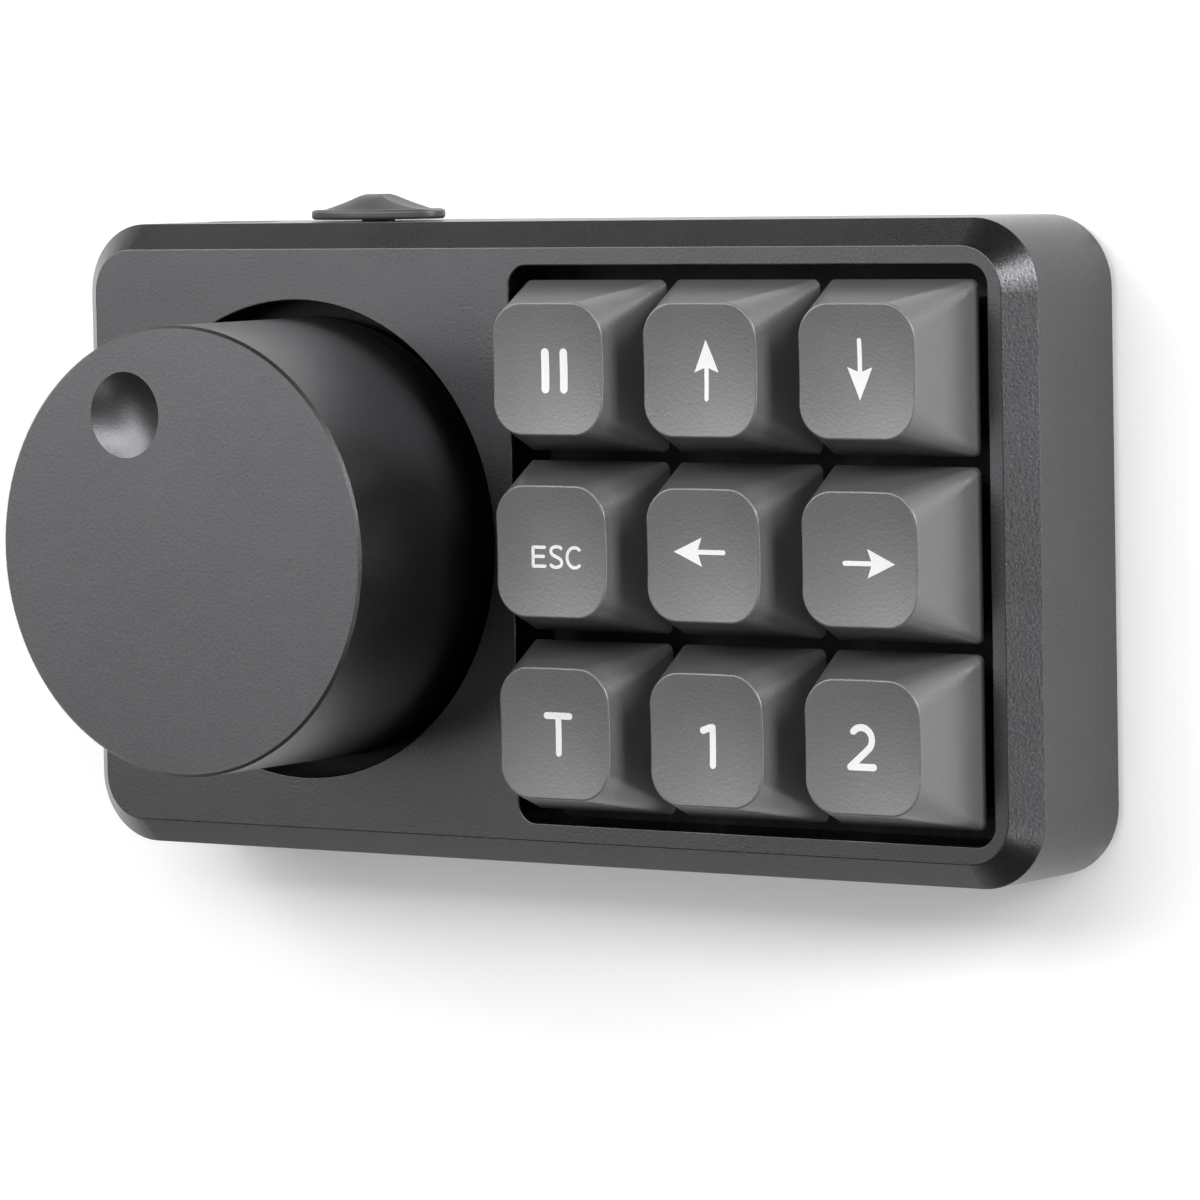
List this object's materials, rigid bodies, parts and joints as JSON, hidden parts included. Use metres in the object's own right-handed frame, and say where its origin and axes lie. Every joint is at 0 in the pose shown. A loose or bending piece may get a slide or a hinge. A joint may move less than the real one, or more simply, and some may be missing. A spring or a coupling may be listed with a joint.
{
  "type": "teleprompter remote",
  "caption": "Desk remote with a large push-and-turn knob, a square pad of sprung keys and a power slider on its upper edge, in a chamfered dark metal case.",
  "frame": {"origin": "middle of the whole part's outline, at the bottom of the feet", "axes": "+X along the body from the knob to the keys, +Y towards the edge with the power slider, +Z out of the key face"},
  "size_m": [0.1224, 0.0714, 0.0399],
  "materials": {
    "housing_aluminium": "bead blasted and anodised dark grey",
    "cover_plastic": "fine textured black",
    "screw_steel": "black oxide",
    "foot_rubber": "matte black",
    "board_laminate": "green solder mask",
    "plate_steel": "black coated",
    "switch_nylon": "moulded black",
    "stem_acetal": "smooth moulded",
    "spring_steel": "drawn wire",
    "contact_brass": "plated",
    "encoder_metal": "plated",
    "knob_aluminium": "turned and anodised dark grey",
    "hub_plastic": "moulded black",
    "slider_plastic": "fine matte dark grey",
    "keycap_plastic": "fine matte dark grey",
    "socket_steel": "drawn and plated",
    "battery_pouch": "satin foil",
    "tape_foam": "foam",
    "connector_nylon": "natural",
    "shield_tin": "tinned",
    "chip_epoxy": "moulded"
  },
  "bodies": {
    "case": {"housing": "housing_aluminium", "bottom_cover": "cover_plastic", "cover_screws": "screw_steel", "rubber_feet": "foot_rubber", "main_board": "board_laminate", "board_screws": "screw_steel", "switch_plate": "plate_steel", "switch_bases": "switch_nylon", "switch_tops": "switch_nylon", "switch_pins": "contact_brass", "encoder_case": "encoder_metal", "encoder_dome": "contact_brass", "encoder_washer": "encoder_metal", "encoder_nut": "encoder_metal", "slide_switch_body": "encoder_metal", "usb_socket": "socket_steel", "battery": "battery_pouch", "battery_tape": "tape_foam", "battery_connector": "connector_nylon", "radio_module": "shield_tin", "controller_chip": "chip_epoxy", "key_spring_pause": "spring_steel", "key_spring_up": "spring_steel", "key_spring_down": "spring_steel", "key_spring_escape": "spring_steel", "key_spring_left": "spring_steel", "key_spring_right": "spring_steel", "key_spring_t": "spring_steel", "key_spring_one": "spring_steel", "key_spring_two": "spring_steel"},
    "key_pause": {"keycap_pause": "keycap_plastic", "switch_stem_pause": "stem_acetal"},
    "key_up": {"keycap_up": "keycap_plastic", "switch_stem_up": "stem_acetal"},
    "key_down": {"keycap_down": "keycap_plastic", "switch_stem_down": "stem_acetal"},
    "key_escape": {"keycap_escape": "keycap_plastic", "switch_stem_escape": "stem_acetal"},
    "key_left": {"keycap_left": "keycap_plastic", "switch_stem_left": "stem_acetal"},
    "key_right": {"keycap_right": "keycap_plastic", "switch_stem_right": "stem_acetal"},
    "key_t": {"keycap_t": "keycap_plastic", "switch_stem_t": "stem_acetal"},
    "key_one": {"keycap_one": "keycap_plastic", "switch_stem_one": "stem_acetal"},
    "key_two": {"keycap_two": "keycap_plastic", "switch_stem_two": "stem_acetal"},
    "knob_push": {"encoder_plunger": "stem_acetal"},
    "knob": {"knob_shell": "knob_aluminium", "knob_hub": "hub_plastic", "encoder_shaft": "encoder_metal"},
    "power_slider": {"slider_cap": "slider_plastic", "slide_switch_lever": "stem_acetal"}
  },
  "joints": [
    {"name": "key_pause_press", "type": "slide", "parent": "case", "child": "key_pause", "axis": [0, 0, -1], "range_m": [0, 0.004], "stiffness_N_per_m": 75, "springref_m": -0.004, "deforming": ["key_spring_pause"]},
    {"name": "key_up_press", "type": "slide", "parent": "case", "child": "key_up", "axis": [0, 0, -1], "range_m": [0, 0.004], "stiffness_N_per_m": 75, "springref_m": -0.004, "deforming": ["key_spring_up"]},
    {"name": "key_down_press", "type": "slide", "parent": "case", "child": "key_down", "axis": [0, 0, -1], "range_m": [0, 0.004], "stiffness_N_per_m": 75, "springref_m": -0.004, "deforming": ["key_spring_down"]},
    {"name": "key_escape_press", "type": "slide", "parent": "case", "child": "key_escape", "axis": [0, 0, -1], "range_m": [0, 0.004], "stiffness_N_per_m": 75, "springref_m": -0.004, "deforming": ["key_spring_escape"]},
    {"name": "key_left_press", "type": "slide", "parent": "case", "child": "key_left", "axis": [0, 0, -1], "range_m": [0, 0.004], "stiffness_N_per_m": 75, "springref_m": -0.004, "deforming": ["key_spring_left"]},
    {"name": "key_right_press", "type": "slide", "parent": "case", "child": "key_right", "axis": [0, 0, -1], "range_m": [0, 0.004], "stiffness_N_per_m": 75, "springref_m": -0.004, "deforming": ["key_spring_right"]},
    {"name": "key_t_press", "type": "slide", "parent": "case", "child": "key_t", "axis": [0, 0, -1], "range_m": [0, 0.004], "stiffness_N_per_m": 75, "springref_m": -0.004, "deforming": ["key_spring_t"]},
    {"name": "key_one_press", "type": "slide", "parent": "case", "child": "key_one", "axis": [0, 0, -1], "range_m": [0, 0.004], "stiffness_N_per_m": 75, "springref_m": -0.004, "deforming": ["key_spring_one"]},
    {"name": "key_two_press", "type": "slide", "parent": "case", "child": "key_two", "axis": [0, 0, -1], "range_m": [0, 0.004], "stiffness_N_per_m": 75, "springref_m": -0.004, "deforming": ["key_spring_two"]},
    {"name": "knob_press", "type": "slide", "parent": "case", "child": "knob_push", "axis": [0, 0, -1], "range_m": [0, 0.0005], "stiffness_N_per_m": 4000, "springref_m": -0.00075},
    {"name": "knob_turn", "type": "hinge", "parent": "knob_push", "child": "knob", "pos_m": [-0.03085, -0.00147, 0.02], "axis": [0, 0, 1], "continuous": true},
    {"name": "slider_slide", "type": "slide", "parent": "case", "child": "power_slider", "axis": [1, 0, 0], "range_m": [0, 0.003]}
  ]
}
